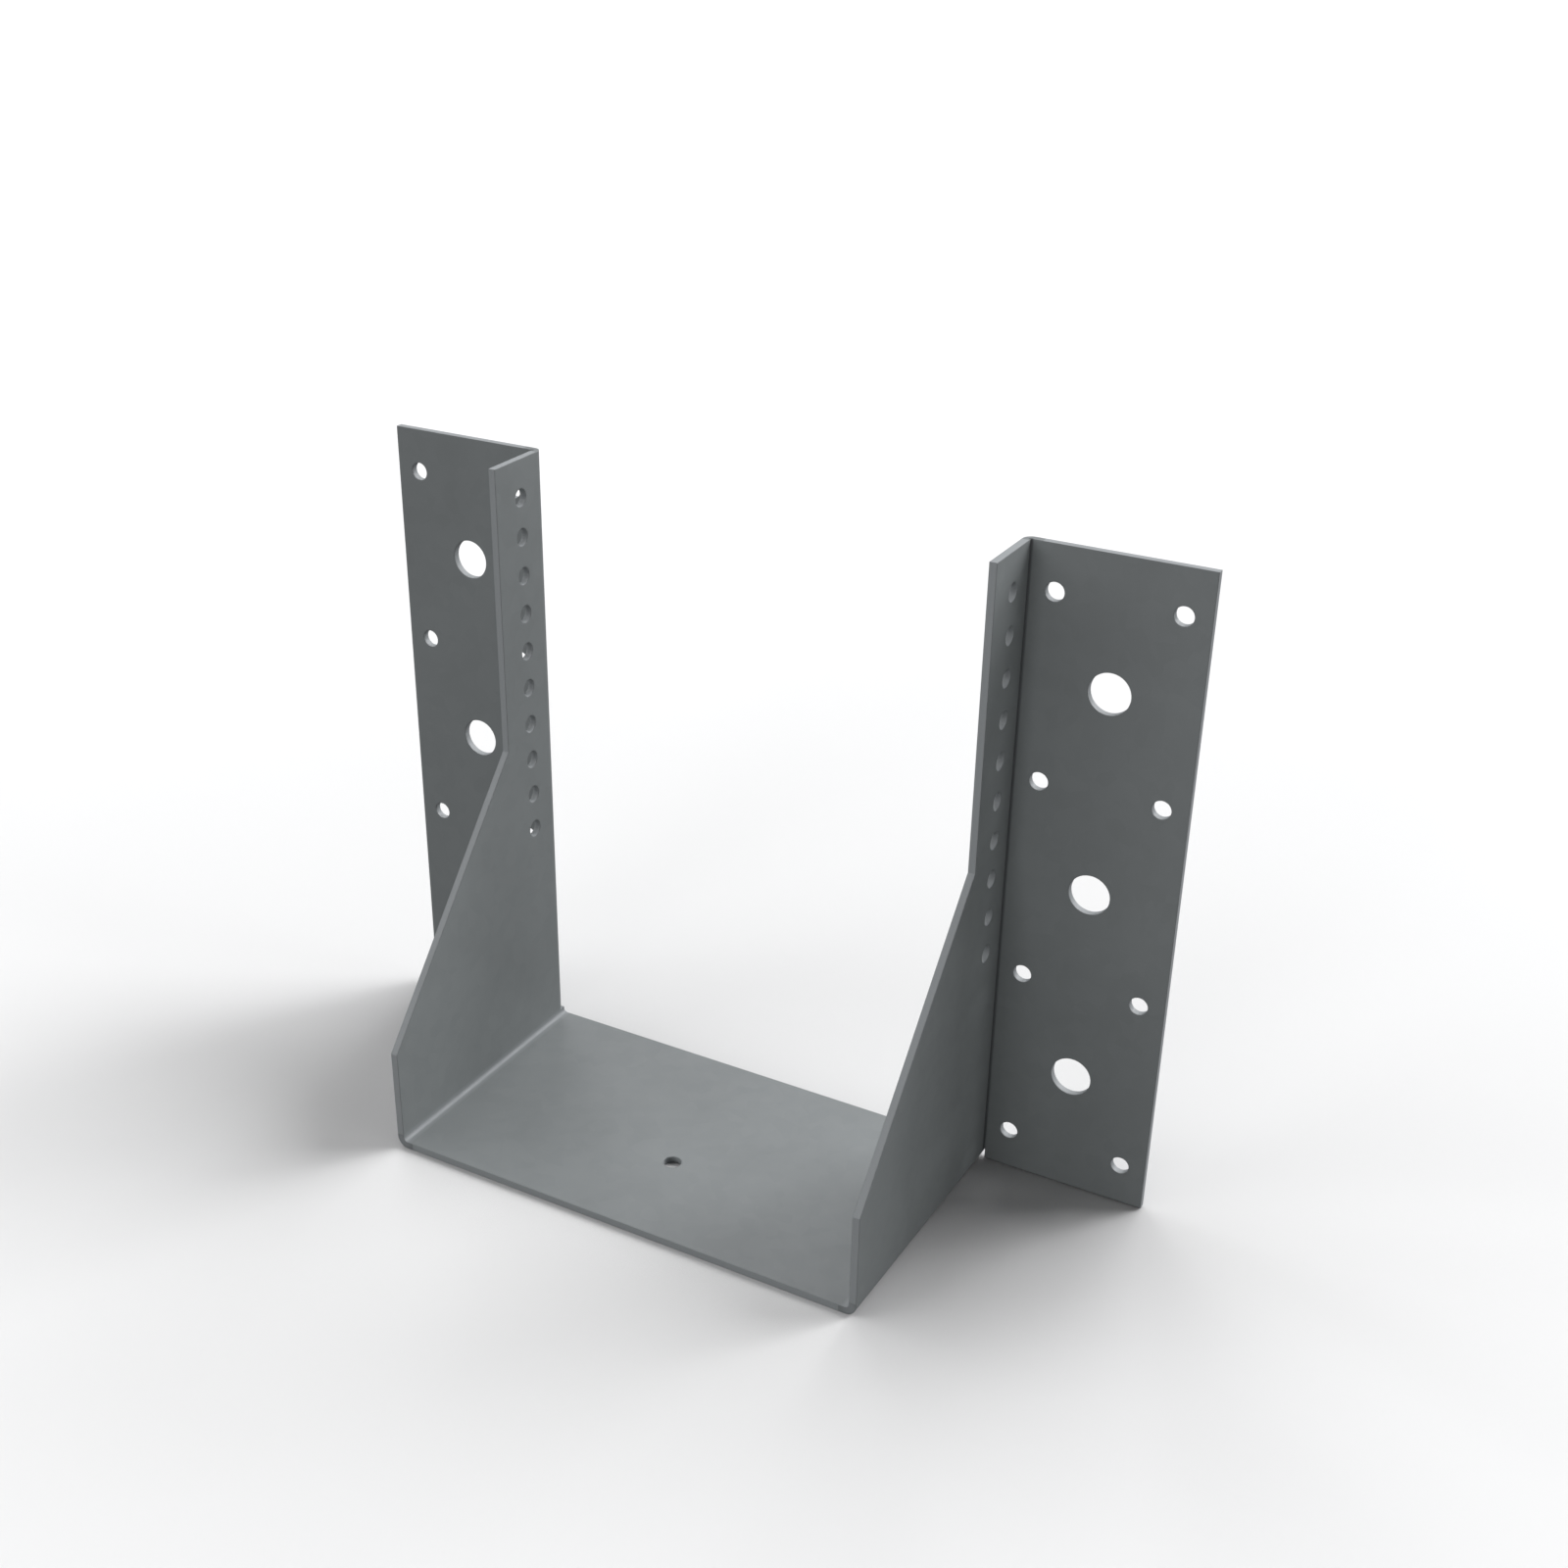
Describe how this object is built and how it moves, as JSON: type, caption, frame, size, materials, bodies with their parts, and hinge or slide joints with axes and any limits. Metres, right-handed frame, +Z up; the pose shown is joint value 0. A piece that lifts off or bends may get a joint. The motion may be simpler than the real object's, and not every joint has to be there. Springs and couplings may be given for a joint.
{
  "type": "u bracket",
  "caption": "Joist hanger folded from one sheet of galvanised steel: flat seat, two sloped sides and outward flanges with nail and bolt holes, to hang a timber joist on a header.",
  "frame": {"origin": "middle of the seat's underside, in the middle of the hanger's width and depth", "axes": "+X to the right along the header, +Y to the header at the flanges' back, -Y out along the joist, +Z up"},
  "size_m": [0.236, 0.08, 0.18],
  "materials": {
    "galvanised_steel": "fine matte galvanised coating"
  },
  "bodies": {
    "root": {"u_bracket": "galvanised_steel"}
  },
  "joints": []
}
